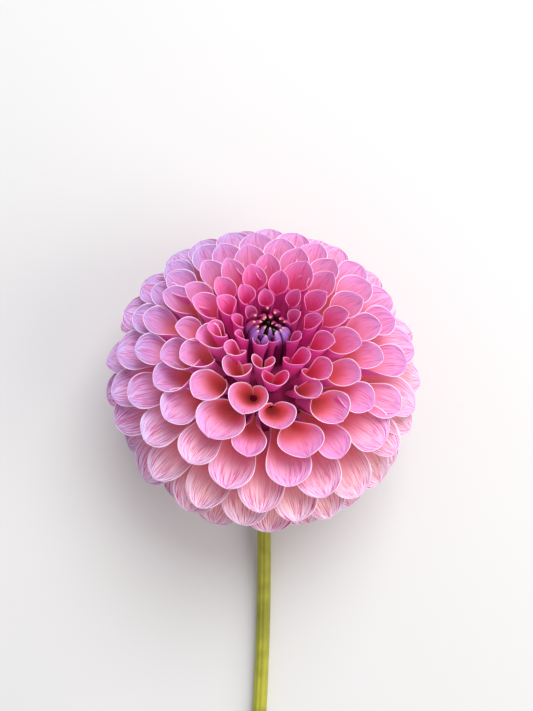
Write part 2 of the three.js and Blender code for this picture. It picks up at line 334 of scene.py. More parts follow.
def floret_place(n):
    """The azimuth in radians, and the angles of tip and foot from the eye in degrees."""
    around = pushed_by(n, 0) + scatter(n, "around")
    azimuth = (FIRST_AZIMUTH - n * GOLDEN_ANGLE + around) * RAD
    even = SPREAD * n + BACK_SPREAD * (n / BACK_FLORET) ** BACK_POWER
    fuller = FULLER_X * azimuth.cos() + FULLER_Y * azimuth.sin()
    polar = even + fuller * (even * RAD).sin() ** 2 * (1 - even.step_up(*FULLER_ENDS))
    away = scatter(n, "away") * even.step_up(*SCATTER_STARTS)
    rooted = polar + away - DRAWN_IN * (1 - n.step_up(*DRAWN_FLORETS))
    return azimuth, rooted + pushed_by(n, 1), rooted


# %% [markdown]
# ## The midrib
#
# A petal starts on a small dome inside the bloom and ends on the bloom's outer ball, which is
# pressed in at the eye. Between them the midrib is a curve with one knee, because that is the
# simplest curve whose tip can be told which way to point: nearly straight out in the middle,
# and bent back at the rim.

# %% The midrib, in the plane of the floret and the axis
BLOOM_RADIUS = 50.4
BLOOM_DEPTH = 39.9
EYE_DEPTH = 9.0
EYE_WIDTH = 13
DOME_RADIUS = 16
DOME_TOP = 17
DOME_BASE = -5
# The feet are spread over the dome down to its rim, which the floret at this angle reaches.
LAST_FOOT = 110
FOOT_POWER = 0.62
# The tips lean in a little, and lean out more between these two angles from the eye.
LEAN_IN = 12
LEAN_BACK = 28
LEANS_BACK = (36, 76)
KNEE_SHARE = 0.5


class Line:
    """A quadratic curve in the plane (out, high), as signals."""

    def __init__(self, start, knee, tip, s):
        r = 1 - s
        self.out, self.high = (
            r * r * a + 2 * s * r * b + s * s * c for a, b, c in zip(start, knee, tip)
        )
        run, rise = (r * (b - a) + s * (c - b) for a, b, c in zip(start, knee, tip))
        length = (run * run + rise * rise).root()
        self.in_out = -rise / length
        self.in_high = run / length


def floret_midrib(polar, rooted, sway, s):
    """Starts on the dome, ends on the ball, and bends back more on the outer florets."""
    theta = polar * RAD
    foot = 90 * RAD * (rooted / LAST_FOOT) ** FOOT_POWER
    dimple = EYE_DEPTH * (-1 * (polar / EYE_WIDTH) ** 2).exp()
    start = (DOME_RADIUS * foot.sin(), DOME_BASE + DOME_TOP * foot.cos())
    tip = (BLOOM_RADIUS * theta.sin(), BLOOM_DEPTH * theta.cos() - dimple)
    lean = (rooted - LEAN_IN + LEAN_BACK * rooted.step_up(*LEANS_BACK) + sway) * RAD
    run, rise = tip[0] - start[0], tip[1] - start[1]
    half = KNEE_SHARE * (run * run + rise * rise).root()
    knee = (tip[0] - half * lean.sin(), tip[1] - half * lean.cos())
    return Line(start, knee, tip, s)


# %% [markdown]
# ## The rolled petal
#
# A petal is wide and flat in the bud and grows curled, so its section is part of a circle. The
# circle grows from foot to tip and is pressed a little flat. What changes from the eye to the
# back stands in one table, where you can read the whole flower: small closed tubes in the
# middle, deep cups round them, and broad open spoons at the rim.

# %% The traits of a petal
# A trait's value at the eye, then what it gains between two angles from the eye: the circle's
# full radius in millimetres, how late the petal widens, where along it the tube lets go, how
# far it curls to either side in degrees, how slowly it opens, how blunt its tip is, and how
# much of the circle's depth is left.
TRAITS = {
    "radius": (2.0, (4.3, 3, 42), (3.8, 46, 80), (1.5, 88, 112)),
    "late": (0.75, (0.95, 16, 40), (-0.6, 46, 74)),
    "opens": (0.78, (-0.24, 14, 42), (-0.2, 45, 80)),
    "curl": (179, (-95, 36, 80)),
    "slow": (1.3, (0.8, 20, 60)),
    "blunt": (0.82, (-0.24, 20, 60)),
    "depth": (0.88, (-0.32, 30, 60)),
}
MOST_CURL = 179


def trait(name, polar):
    """A trait's value at an angle from the eye."""
    value, *gains = TRAITS[name]
    for gain, low, high in gains:
        value = value + gain * polar.step_up(low, high)
    return value


# %% A point of the rolled petal
# The foot is this share of the full radius.
FOOT_RADIUS = 0.1
# A tube's two edges meet in a groove: its depth as a share of the radius, where round the
# circle it lies, and the angles from the eye between which it fades out.
GROOVE = 0.55
GROOVE_LIES = (110 * RAD, 180 * RAD)
GROOVE_FADES = (29, 37)
# The rim's turned-out lip as a share of the radius, its waves in millimetres, how many radians
# of wave lie along a petal, across it and from floret to floret, and the fold at the midrib.
LIP = 0.2
WAVE = 0.22
WAVE_ALONG, WAVE_ACROSS, WAVE_APART = 34, 2, 2.1
FOLD = 0.12


def placed(midrib, azimuth, across, deep):
    """A point beside a midrib, across and deep of it, turned to its azimuth round the axis."""
    out = midrib.out + midrib.in_out * deep
    high = midrib.high + midrib.in_high * deep
    x = out * azimuth.cos() - across * azimuth.sin()
    y = out * azimuth.sin() + across * azimuth.cos()
    return x, y, high


def floret_point(n, s, t, fullness):
    """A point of the petal: s runs from foot to tip, and t from -1 to 1 across it."""
    azimuth, polar, rooted = floret_place(n)
    midrib = floret_midrib(polar, rooted, scatter(n, "sway"), s)
    size = fullness * (1 + scatter(n, "size") + pushed_by(n, 2))
    full_radius = trait("radius", polar) * size
    radius = full_radius * (FOOT_RADIUS + (1 - FOOT_RADIUS) * s ** trait("late", polar))
    opens = trait("opens", polar) + scatter(n, "opens")
    mouth = ((s - opens) / (1 - opens)).at_least(0)
    curl = (trait("curl", polar) + scatter(n, "curl")).at_most(MOST_CURL)
    closed = (1 - mouth ** trait("slow", polar)).at_least(0) ** trait("blunt", polar)
    turn = curl * RAD * closed * t + scatter(n, "twist") * s
    groove = GROOVE * turn.size().step_up(*GROOVE_LIES) * (1 - polar.step_up(*GROOVE_FADES))
    across = radius * turn.sin()
    ripple = (s * WAVE_ALONG + n * WAVE_APART + t * WAVE_ACROSS).sin()
    wave = WAVE * t.size() ** 3 * mouth * ripple
    lip = LIP * full_radius * mouth ** 2
    fold = FOLD * across.size() * s * s
    deep = radius * (1 - turn.cos() - groove) * trait("depth", polar) - lip + wave + fold
    return placed(midrib, azimuth, across, deep)


# %% [markdown]
# ## Growing the florets with Geometry Nodes
#
# The tree makes one flat grid, puts a copy on each point of a line with as many points as
# there are florets, and numbers the copies. Then a single Set Position node rolls every grid
# into its own petal. The grid's own X and Y are kept as a UV map first, because the veins and
# the colour of a petal follow them.

# %% The start and the end of a tree
GRID_INPUTS = {
    "First Floret": "NodeSocketInt",
    "Florets": "NodeSocketInt",
    "Rows": "NodeSocketInt",
    "Columns": "NodeSocketInt",
    "Material": "NodeSocketMaterial",
}


def tree_with_inputs(name, kinds=GRID_INPUTS):
    """An empty Geometry Nodes tree with named inputs: a maker, its inputs as signals."""
    tree = bpy.data.node_groups.new(name, "GeometryNodeTree")
    tree.interface.new_socket("Geometry", in_out="OUTPUT", socket_type="NodeSocketGeometry")
    for label, kind in kinds.items():
        tree.interface.new_socket(label, in_out="INPUT", socket_type=kind)
    maker = Maker(tree)
    entry = maker.node("NodeGroupInput")
    return maker, {label: Signal(maker, entry.outputs[label]) for label in kinds}


def finish_tree(maker, geometry, material):
    """Realize Instances and Set Material, and the way out."""
    real = maker.value("GeometryNodeRealizeInstances", None, {"Geometry": geometry})
    dressed = maker.value("GeometryNodeSetMaterial", None, {"Geometry": real, "Material": material})
    maker.node("NodeGroupOutput", None, {"Geometry": dressed})


# %% Numbered grids, and a place for every vertex
def numbered_grids(maker, sizes):
    """Copies of a unit grid, all at the origin, with a number and a UV map on each."""
    grid = maker.value(
        "GeometryNodeMeshGrid",
        None,
        {"Size X": 1.0, "Size Y": 1.0, "Vertices X": sizes["Columns"], "Vertices Y": sizes["Rows"]},
    )
    line = maker.value(
        "GeometryNodeMeshLine", None, {"Count": sizes["Florets"], "Offset": (0.0, 0.0, 0.0)}
    )
    copies = maker.value("GeometryNodeInstanceOnPoints", None, {"Points": line, "Instance": grid})
    number = maker.value("GeometryNodeInputIndex") + sizes["First Floret"]
    numbered = maker.value(
        "GeometryNodeStoreNamedAttribute",
        {"data_type": "FLOAT", "domain": "INSTANCE"},
        {"Geometry": copies, "Name": "floret", "Value": number},
    )
    real = maker.value("GeometryNodeRealizeInstances", None, {"Geometry": numbered})
    place = maker.node(
        "ShaderNodeSeparateXYZ", None, {0: maker.value("GeometryNodeInputPosition")}
    )
    across = Signal(maker, place.outputs["X"])
    along = Signal(maker, place.outputs["Y"]) + 0.5
    uv = maker.value("ShaderNodeCombineXYZ", None, {"X": across + 0.5, "Y": along})
    mapped = maker.value(
        "GeometryNodeStoreNamedAttribute",
        {"data_type": "FLOAT2", "domain": "CORNER"},
        {"Geometry": real, "Name": "petal", "Value": uv},
    )
    n = maker.value("GeometryNodeInputNamedAttribute", {"data_type": "FLOAT"}, {"Name": "floret"})
    return mapped, n, along, 2 * across


def move_to(maker, geometry, point):
    """Every vertex goes to point, which is worked out in millimetres."""
    x, y, z = point
    place = maker.value("ShaderNodeCombineXYZ", None, {"X": x * MM, "Y": y * MM, "Z": z * MM})
    moved = maker.value(
        "GeometryNodeSetPosition", None, {"Geometry": geometry, "Position": place}
    )
    return maker.value("GeometryNodeSetShadeSmooth", None, {"Geometry": moved})


# %% The tree of the open florets
# A petal's grid starts this far up the midrib, and its rows draw together towards the tip.
FOOT_SHARE = 0.12
ROWS_TO_TIP = 1.9


def floret_tree():
    """The tree of the open florets."""
    maker, sizes = tree_with_inputs("floret spiral", GRID_INPUTS | {"Fullness": "NodeSocketFloat"})
    grids, n, along, t = numbered_grids(maker, sizes)
    s = between(FOOT_SHARE, 1.0, 1 - (1 - along).at_least(0) ** ROWS_TO_TIP)
    rolled = move_to(maker, grids, floret_point(n, s, t, sizes["Fullness"]))
    finish_tree(maker, rolled, sizes["Material"])
    return maker.tree


# %% The tree of a closed body
MERGE_BELOW = 0.001 * MM


def closed_tree(name, point):
    """The tree of grids whose edges meet: they are merged. point takes n, s and t."""
    maker, sizes = tree_with_inputs(name)
    grids, n, along, t = numbered_grids(maker, sizes)
    finish_tree(maker, merged(maker, move_to(maker, grids, point(n, along, t))), sizes["Material"])
    return maker.tree


def merged(maker, geometry):
    """The same geometry with its meeting vertices merged."""
    inputs = {"Geometry": geometry, "Distance": MERGE_BELOW}
    return maker.value("GeometryNodeMergeByDistance", None, inputs)


# %% [markdown]
# ## From a tree to a plain mesh
#
# The modifier's inputs are set by their identifiers, the tree runs once, and the evaluated
# result becomes an ordinary mesh that is then turned into place. The bloom is heavy, so the
# lowest petals are pressed flat on the floor instead of reaching through it.

# %% Run a tree, turn the result into place, press it on the floor
PRESS_BELOW = 7 * MM
PRESS_TO = 0.35 * MM


def grown(name, tree, inputs, turn):
    """A plain mesh object made by a tree, placed by a matrix."""
    holder = bpy.data.objects.new("holder", bpy.data.meshes.new("holder"))
    bpy.context.scene.collection.objects.link(holder)
    modifier = holder.modifiers.new("grow", "NODES")
    modifier.node_group = tree
    sockets = {
        item.name: item.identifier
        for item in tree.interface.items_tree
        if item.in_out == "INPUT"
    }
    for label, value in inputs.items():
        modifier[sockets[label]] = value
    evaluated = holder.evaluated_get(bpy.context.evaluated_depsgraph_get())
    mesh = bpy.data.meshes.new_from_object(evaluated)
    bpy.data.objects.remove(holder)
    mesh.name = name
    mesh.transform(turn)
    piece = bpy.data.objects.new(name, mesh)
    bpy.context.scene.collection.objects.link(piece)
    return piece


def outward(piece):
    """Turns the faces of closed sheets outwards."""
    mesh = bmesh.new()
    mesh.from_mesh(piece.data)
    bmesh.ops.recalc_face_normals(mesh, faces=mesh.faces)
    mesh.to_mesh(piece.data)
    mesh.free()


def pressed(piece):
    """Squeezes what would reach through the floor into a thin layer on it."""
    mesh = piece.data
    places = np.empty(3 * len(mesh.vertices), dtype=np.float32)
    mesh.vertices.foreach_get("co", places)
    places = places.reshape(-1, 3)
    low = places[:, 2].min()
    if low < PRESS_TO:
        share = (places[:, 2] - low) / (PRESS_BELOW - low)
        squeezed = PRESS_TO + share * (PRESS_BELOW - PRESS_TO)
        places[:, 2] = np.where(places[:, 2] < PRESS_BELOW, squeezed, places[:, 2])
        mesh.vertices.foreach_set("co", places.ravel())
        mesh.update()
    print(piece.name, "lowest point", round(float(low) / MM, 2), "mm before pressing")


# %% [markdown]
# ## Petal colour
#
# A petal of this dahlia is coral deep in the cup, turns pink on the way up and lilac at the
# tip, with a pale rim and fine darker veins that run from foot to tip. The coral deep in the
# cup is partly painted light, the glow of light through and between petals, and the pale rim
# is partly a painted highlight. The inner florets are younger and a stronger magenta. Light
# that passes through a petal makes the cups glow, so the skins let some light in and give off
# a very little of their own colour, which is painted light and far quicker to render than true
# see-through petals.

# %% Colour helpers
BENT_LIGHT_SHARES = (1.0, 0.45, 0.4)
SHEEN = 0.35


def colour(red, green, blue):
    """A colour as a paint chart gives it, 0 to 255, for a shader."""
    values = [c / 255 for c in (red, green, blue)]
    linear = [v / 12.92 if v <= 0.04045 else ((v + 0.055) / 1.055) ** 2.4 for v in values]
    return (*linear, 1.0)


def mixed(maker, share, first, second):
    """The colour first at share 0 and second at share 1."""
    inputs = {"Factor": share, 6: first, 7: second}
    return maker.value("ShaderNodeMix", {"data_type": "RGBA"}, inputs, output=2)


def new_material(name):
    """A material with an empty tree: the material and its maker."""
    material = bpy.data.materials.new(name)
    material.use_nodes = True
    material.node_tree.nodes.clear()
    return material, Maker(material.node_tree)


def skin(maker, base, roughness, bump=None, inside=0.0, reach=0.001, glow=0.0):
    """A Principled surface: inside is the share of light let in, reach how far it goes, and glow is
    painted light, the surface giving off its own base colour.
    """
    inputs = {
        "Base Color": base,
        "Roughness": roughness,
        "Subsurface Weight": inside,
        "Subsurface Radius": BENT_LIGHT_SHARES,
        "Subsurface Scale": reach,
        "Specular IOR Level": SHEEN,
    }
    if glow:
        inputs |= {"Emission Color": base, "Emission Strength": glow}
    if bump is not None:
        inputs["Normal"] = bump
    shader = maker.value("ShaderNodeBsdfPrincipled", None, inputs)
    maker.node("ShaderNodeOutputMaterial", None, {"Surface": shader})


# %% Where a point is on its petal, and the streaks there
# Streaks are noise drawn out from foot to tip: how fine it is across the petal and along it,
# how far apart the petals' own patterns lie, and its detail.
FINE_STREAKS = (32, 4.4, 7.3, 4.0)
BROAD_STREAKS = (7, 1.1, 3.1, 2.0)
BUMP_HEIGHT = 0.4 * MM


def petal_signals(maker):
    """s from foot to tip, t from -1 to 1 across the petal, and the floret's number."""
    uv = maker.value("ShaderNodeUVMap", {"uv_map": "petal"})
    parts = maker.node("ShaderNodeSeparateXYZ", None, {0: uv})
    s = Signal(maker, parts.outputs["Y"])
    t = 2 * Signal(maker, parts.outputs["X"]) - 1
    n = maker.value("ShaderNodeAttribute", {"attribute_name": "floret"}, output=2)
    return s, t, n


def streaks(maker, s, t, n, grain):
    """Streaks from foot to tip, each petal with its own."""
    across, along, apart, detail = grain
    inputs = {"X": t * across, "Y": s * along, "Z": n * apart}
    place = maker.value("ShaderNodeCombineXYZ", None, inputs)
    noise = {"Vector": place, "Scale": 1.0, "Detail": detail}
    return maker.value("ShaderNodeTexNoise", None, noise)


def bumped(maker, height, strength):
    """Raises the skin a little where height is 1."""
    inputs = {"Strength": strength, "Distance": BUMP_HEIGHT, "Height": height}
    return maker.value("ShaderNodeBump", None, inputs)


def object_place(maker):
    """The place of a point, and its X and Y as signals in metres."""
    place = maker.value("ShaderNodeTexCoord", output="Object")
    parts = maker.node("ShaderNodeSeparateXYZ", None, {0: place})
    return place, Signal(maker, parts.outputs["X"]), Signal(maker, parts.outputs["Y"])


# %% [markdown]
# ## The inside of a petal
#
# Three zones follow each other from the foot up: deep, middle and tip. Each has a colour for
# the usual florets, one for the young inner ones and one for the old outer ones. The deep
# zone's colour is partly the petal's own and partly painted light, the glow of light that
# passes through and between the petals. The middles and tips on the bloom's left and top edge
# are painted cooler: painted shade for the side that the warm light does not reach. Then the
# marks are laid over the zones one by one: dark veins, pale veins between them, the line of the
# midrib, which is painted shade in its crease, a dark point at its end and the pale edge,
# which is partly a pale margin and partly a painted highlight.

# %% The three zones
# Usual, young and old.
ZONES = {
    # The deep colours are partly the petal's own and partly painted light: the glow of light
    # through and between the petals.
    "deep": (colour(240, 130, 134), colour(236, 60, 138), colour(242, 136, 144)),
    "middle": (colour(246, 164, 208), colour(246, 100, 176), colour(248, 198, 196)),
    "tip": (colour(228, 160, 226), colour(244, 134, 208), colour(232, 216, 238)),
}
YOUNG_UP_TO = (24, 62)
OLD_FROM = (75, 135)
# Painted shade: middles and tips on the bloom's left and top edge turn cooler, for the side that
# the warm light does not reach.
PAINTED_SHADE_FROM = (40, 95)
PAINTED_SHADE_SIDE = (0.0, 0.85)
TOP_SHARE = 0.45
PAINTED_SHADE_MIDDLE = colour(208, 162, 218)
PAINTED_SHADE_TIP = colour(184, 182, 238)


def painted_shade_side(maker):
    """Where painted shade goes: 1 at the bloom's left edge, less at its top edge, and below 0 on
    the right.
    """
    _, across, ahead = object_place(maker)
    across = across - BLOOM_CENTRE.x
    ahead = ahead - BLOOM_CENTRE.y
    return (TOP_SHARE * ahead - across) / (BLOOM_RADIUS * MM)


def zone(maker, name, young, old):
    """A zone's colour for a floret that is so young or so old."""
    usual, when_young, when_old = ZONES[name]
    return mixed(maker, old, mixed(maker, young, usual, when_young), when_old)


def inside_zones(maker, s, t, n, broad):
    """The colour of a petal's inside without its marks."""
    young = 1 - n.step_up(*YOUNG_UP_TO)
    old = n.step_up(*OLD_FROM)
    painted_shade = painted_shade_side(maker).step_up(*PAINTED_SHADE_SIDE) * n.step_up(*PAINTED_SHADE_FROM)
    middle = mixed(maker, 0.85 * painted_shade, zone(maker, "middle", young, old), PAINTED_SHADE_MIDDLE)
    tip = mixed(maker, 0.9 * painted_shade, zone(maker, "tip", young, old), PAINTED_SHADE_TIP)
    rise = s + 0.14 * (broad - 0.5)
    base = mixed(maker, rise.step_up(0.3, 0.62), zone(maker, "deep", young, old), middle)
    return mixed(maker, (rise + 0.2 * t.size()).step_up(0.62, 0.98), base, tip)


# %% The marks on the inside
VEIN = colour(196, 40, 116)
PALE_VEIN = colour(252, 214, 226)
# Painted shade in the midrib's crease.
CREASE_SHADE_COLOUR = colour(180, 40, 104)
POINT_COLOUR = colour(190, 50, 110)
# The pale edge is partly a pale margin and partly a painted highlight.
EDGE_AND_HIGHLIGHT_COLOUR = colour(255, 234, 246)
RIB_WIDTH = 0.03
POINT_WIDTH = 0.3


def petal_inside():
    """The material of the inside: the zones, then each mark as a share and its colour."""
    material, maker = new_material("petal inside")
    s, t, n = petal_signals(maker)
    fine = streaks(maker, s, t, n, FINE_STREAKS)
    broad = streaks(maker, s, t, n, BROAD_STREAKS)
    dark = (fine + 0.04 * n.step_up(*OLD_FROM)).step_up(0.5, 0.63)
    vein = s.step_up(0.3, 0.75) * (0.48 + 0.35 * n.step_up(60, 110) + 0.3 * t.size() ** 2)
    pale = (1 - fine).step_up(0.56, 0.7) * s.step_up(0.5, 0.9) * (0.2 + 0.4 * n.step_up(50, 110))
    # A dark line along the midrib: painted shade in its crease.
    rib = (-1 * (t / RIB_WIDTH) ** 2).exp() * s.step_up(0.4, 0.95)
    point = s.step_up(0.95, 1.0) * (-1 * (t / POINT_WIDTH) ** 2).exp()
    # A pale band at the edge: partly a pale margin and partly a painted highlight.
    edge_and_highlight = t.size().step_up(0.93, 0.99).at_least(s.step_up(0.975, 0.995)) * n.step_up(24, 60)
    base = inside_zones(maker, s, t, n, broad)
    base = mixed(maker, vein * dark, base, VEIN)
    base = mixed(maker, pale, base, PALE_VEIN)
    base = mixed(maker, 0.5 * rib, base, CREASE_SHADE_COLOUR)
    base = mixed(maker, 0.4 * point, base, POINT_COLOUR)
    base = mixed(maker, 0.75 * edge_and_highlight, base, EDGE_AND_HIGHLIGHT_COLOUR)
    skin(maker, base, 0.5, bumped(maker, dark, 0.25), inside=0.15, reach=2 * MM, glow=0.05)
    return material


# %% [markdown]
# ## The outside and the edge
#
# The outside of a petal is a plainer, more even pink than the inside, so it needs only a low
# and a high colour and its veins. The edge is a strip as wide as the petal is thick. It gets a
# material of its own, because a pale line round each cup is what tells the petals apart. Its
# pale colour and faint glow are partly the petal's pale margin and partly a painted highlight.

# %% The outside and the edge
# Usual and young.
OUTSIDE_LOW = (colour(238, 122, 198), colour(236, 70, 170))
OUTSIDE_HIGH = (colour(236, 154, 220), colour(236, 108, 198))
OUTSIDE_VEIN = colour(200, 36, 120)
# The rim's colours are partly a pale margin and partly a painted highlight.
YOUNG_RIM_AND_HIGHLIGHT = colour(240, 136, 190)
RIM_AND_HIGHLIGHT = colour(255, 228, 240)


def petal_outside():
    """The material of the outside."""
    material, maker = new_material("petal outside")
    s, t, n = petal_signals(maker)
    dark = streaks(maker, s, t, n, FINE_STREAKS).step_up(0.5, 0.7)
    broad = streaks(maker, s, t, n, BROAD_STREAKS)
    young = 1 - n.step_up(24, 70)
    low = mixed(maker, young, *OUTSIDE_LOW)
    high = mixed(maker, young, *OUTSIDE_HIGH)
    base = mixed(maker, (s + 0.1 * (broad - 0.5)).step_up(0.45, 0.95), low, high)
    base = mixed(maker, 0.5 * dark, base, OUTSIDE_VEIN)
    skin(maker, base, 0.48, bumped(maker, dark, 0.3), inside=0.15, reach=2 * MM, glow=0.04)
    return material


def petal_rim():
    """The material of the thin edge, paler on the older florets: partly a pale margin, partly a
    painted highlight.
    """
    material, maker = new_material("petal rim")
    n = petal_signals(maker)[2]
    base = mixed(maker, n.step_up(22, 70), YOUNG_RIM_AND_HIGHLIGHT, RIM_AND_HIGHLIGHT)
    skin(maker, base, 0.45, inside=0.2, reach=1.5 * MM, glow=0.1)
    return material


petal_materials = [petal_outside(), petal_inside(), petal_rim()]
print("petal materials:", [m.name for m in petal_materials])

# %% [markdown]
# ## The florets, in three rings
#
# One tree makes all three pieces. A petal is about a sixth of a millimetre thick, which
# Solidify adds at the end. The sheet itself has the outside's material, and Solidify gives the
# second and the third material to the new inner face and to the edge. That is lighter than
# modelling both faces, and the two can never drift apart.

# %% Grow the florets
PETAL_THICK = 0.15 * MM
FULLNESS = 0.96
# Each ring's first floret and number of florets, then the rows and columns of a petal's grid.
RINGS = {
    "inner_florets": (18, 44, 26, 21),
    "middle_florets": (62, 53, 26, 19),
    "outer_florets": (115, 65, 24, 19),
}
spiral = floret_tree()


def floret_ring(name, first, count, rows, columns):
    """Grows one ring, presses it on the floor, and gives it thickness and materials."""
    inputs = {"First Floret": first, "Florets": count, "Rows": rows, "Columns": columns}
    inputs |= {"Fullness": FULLNESS, "Material": petal_materials[0]}
    piece = grown(name, spiral, inputs, bloom_turn)
    pressed(piece)
    piece.data.materials.clear()
    for material in petal_materials:
        piece.data.materials.append(material)
    shell = piece.modifiers.new("thickness", "SOLIDIFY")
    shell.thickness = PETAL_THICK
    shell.offset = 0
    shell.material_offset = 1
    shell.material_offset_rim = 2
    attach(piece, "root")
    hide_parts("ray_florets")
    print(name, count, "florets,", len(piece.data.polygons), "faces before thickness")


for name, counts in RINGS.items():
    floret_ring(name, *counts)


# %% [markdown]
# ## The receptacle
#
# The florets grow from a round fleshy body, the receptacle. Hardly any of it shows, but
# without it you could look between two petals right through the bloom. It is a grid rolled
# into a ball, a little flat, in dark red: painted shade, the colour of the shadowed depth
# between the petals.

# %% The receptacle that carries them
CORE_RADIUS = 22
CORE_HALF_HEIGHT = 14
CORE_HIGH = 3
# Painted shade: the dark reds of the shadowed depth between the petals.
CORE_SHADE_COLOURS = (colour(128, 14, 72), colour(164, 30, 98))
# Patches of noise for each metre, and the values between which the noise goes from 0 to 1.
CORE_CLOUDS = 300.0
CLOUD_RANGE = (0.35, 0.7)


def core_point(s, t):
    """A point of the round body from which the florets grow."""
    polar = math.pi * (1 - s)
    turn = math.pi * t
    out = CORE_RADIUS * polar.sin()
    return out * turn.cos(), out * turn.sin(), CORE_HIGH + CORE_HALF_HEIGHT * polar.cos()


def core_shade_skin():
    """Painted shade in two tones of dark red, with a faint painted glow for light from the petals
    round it.
    """
    material, maker = new_material("receptacle")
    place = maker.value("ShaderNodeTexCoord", output="Object")
    noise = {"Vector": place, "Scale": CORE_CLOUDS, "Detail": 2.0}
    cloud = maker.value("ShaderNodeTexNoise", None, noise)
    base = mixed(maker, cloud.step_up(*CLOUD_RANGE), *CORE_SHADE_COLOURS)
    skin(maker, base, 0.7, glow=0.04)
    return material


core_sizes = {"First Floret": 0, "Florets": 1, "Rows": 25, "Columns": 49}
core_grid = closed_tree("receptacle", lambda n, s, t: core_point(s, t))
core = grown("receptacle", core_grid, core_sizes | {"Material": core_shade_skin()}, bloom_turn)
outward(core)
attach(core, "root")
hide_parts("ray_florets")
print("receptacle:", len(core.data.polygons), "faces")

# %% [markdown]
# ## The heart
#
# In the eye the youngest florets are still shut. They are slim buds that bend in over the
# middle: violet in the lower half of the eye, a darker crimson in the upper half, which is
# painted shade, and pale orange at their tips. The same spiral places them, so the closed tree
# and the numbered grids serve again. Here each grid closes into a spindle with three soft
# creases.

# %% Buds that lean in
HEART_SPREAD = 1.32
HEART_FOOT = 16
HEART_TOP = 33
HEART_SHIFT = -1.6
HEART_BUDS = 25
SCATTERED |= {
    "bud ring": (0.1, 0.71),
    "bud knee": (0.5, 0.37),
    "bud top": (0.9, 0.29),
    "bud tip": (0.6, 0.57),
    "bud thick": (0.12, 0.19),
}
# In the middle, and then at the last bud: the knee's height, the tip's height above the top,
# and the thickness, which is full from the bud with this number on.
KNEE_HEIGHTS = (33, 34.4)
TIP_HEIGHTS = (-0.9, 1.1)
BUD_RADII = (0.65, 1.25)
FULL_BUD = 14
INNERMOST = 0.3
CREASES = 3
CREASE_DEPTH = 0.2
BUD_BREADTH = 1.1


def bud_point(n, s, t):
    """A point of a closed bud: s runs from foot to tip, and t from -1 to 1 round it."""
    azimuth = floret_place(n)[0]
    ring = HEART_SPREAD * (n + 0.5).root() * (1 + scatter(n, "bud ring"))
    outer = n / HEART_BUDS
    start = (0.8 * ring + 0.8, HEART_FOOT + 0 * ring)
    knee = (1.08 * ring + 0.9, between(*KNEE_HEIGHTS, outer) + scatter(n, "bud knee"))
    tip_high = HEART_TOP + between(*TIP_HEIGHTS, outer) + scatter(n, "bud top")
    tip = ((0.82 * ring - 1.1 + scatter(n, "bud tip")).at_least(INNERMOST), tip_high)
    midrib = Line(start, knee, tip, s)
    thick = between(*BUD_RADII, (n / FULL_BUD).at_most(1.0)) * (1 + scatter(n, "bud thick"))
    swell = (math.pi * s ** 0.8).sin().at_least(0) ** 0.7
    crease = 1 - CREASE_DEPTH * (1 + (CREASES * math.pi * t).cos()) * s
    radius = thick * swell * crease
    turn = math.pi * t
    across = radius * turn.sin() * BUD_BREADTH
    x, y, high = placed(midrib, azimuth, across, -1 * radius * turn.cos())
    return x, y + HEART_SHIFT, high


# %% The buds' material, and the heart
# Violet below the first of these places and crimson above the second, in millimetres of Y. The
# crimson of the upper half is painted shade.
SHADED_CRIMSON_FROM = (63.5, 67.5)
# Each pair: the lower half's colour, then the upper half's crimson, which is painted shade.
BUD_LOW = (colour(104, 16, 72), colour(100, 8, 52))
BUD_HIGH = (colour(162, 108, 190), colour(182, 48, 116))
BUD_STREAK = colour(70, 14, 70)
BUD_TIP = colour(236, 174, 134)
GREEN_HEART = colour(34, 44, 26)
GREEN_BUDS = (1.5, 4)


def bud_skin():
    """The material of the buds."""
    material, maker = new_material("heart bud")
    s, t, n = petal_signals(maker)
    dark = streaks(maker, s, t, n, FINE_STREAKS).step_up(0.5, 0.7)
    broad = streaks(maker, s, t, n, BROAD_STREAKS) - 0.5
    shaded_upper = (object_place(maker)[2] / MM).step_up(*SHADED_CRIMSON_FROM)
    low = mixed(maker, shaded_upper, *BUD_LOW)
    high = mixed(maker, shaded_upper, *BUD_HIGH)
    base = mixed(maker, (s + 0.2 * broad).step_up(0.5, 0.72), low, high)
    base = mixed(maker, 0.6 * dark, base, BUD_STREAK)
    base = mixed(maker, 0.85 * (s + 0.08 * broad).step_up(0.88, 0.95), base, BUD_TIP)
    base = mixed(maker, 1 - n.step_up(*GREEN_BUDS), base, GREEN_HEART)
    skin(maker, base, 0.42, inside=0.1, reach=MM)
    return material


heart = grown(
    "heart_buds",
    closed_tree("bud spiral", bud_point),
    {"First Floret": 0, "Florets": HEART_BUDS, "Rows": 18, "Columns": 19, "Material": bud_skin()},
    bloom_turn,
)
outward(heart)
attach(heart, "root")
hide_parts("heart_florets")
print("heart:", len(heart.data.polygons), "faces")

# %% [markdown]
# ## The calyx
#
# Behind the bloom a fleshy green cup carries the petals, with eight leafy bracts that bend
# back towards the stem. Both are closed sheets as well: the cup is a grid rolled round the
# axis, and each bract is a grid rolled flat.

# %% The cup and its bracts
CALYX_TOP = -10.98
CALYX_RADIUS = 9.5
CALYX_LENGTH = 8
STEM_NECK_RADIUS = 2.15
BRACTS = 8
BRACT_REACH = 17
BRACT_HALF_WIDTH = 2.85
BRACT_HALF_THICK = 0.42
BRACT_DROP = 10.7
BRACT_HOLLOW = 0.05
# The part of the cup's sheet that closes it at either end.
CUP_END = 0.1
CUP_RISES = (0.1, 0.88)
CUP_RIB = 0.02
SCATTERED |= {
    "bract place": (0.06, 0.17),
    "bract reach": (0.4, 0.63),
    "bract drop": (1, 0.41),
}


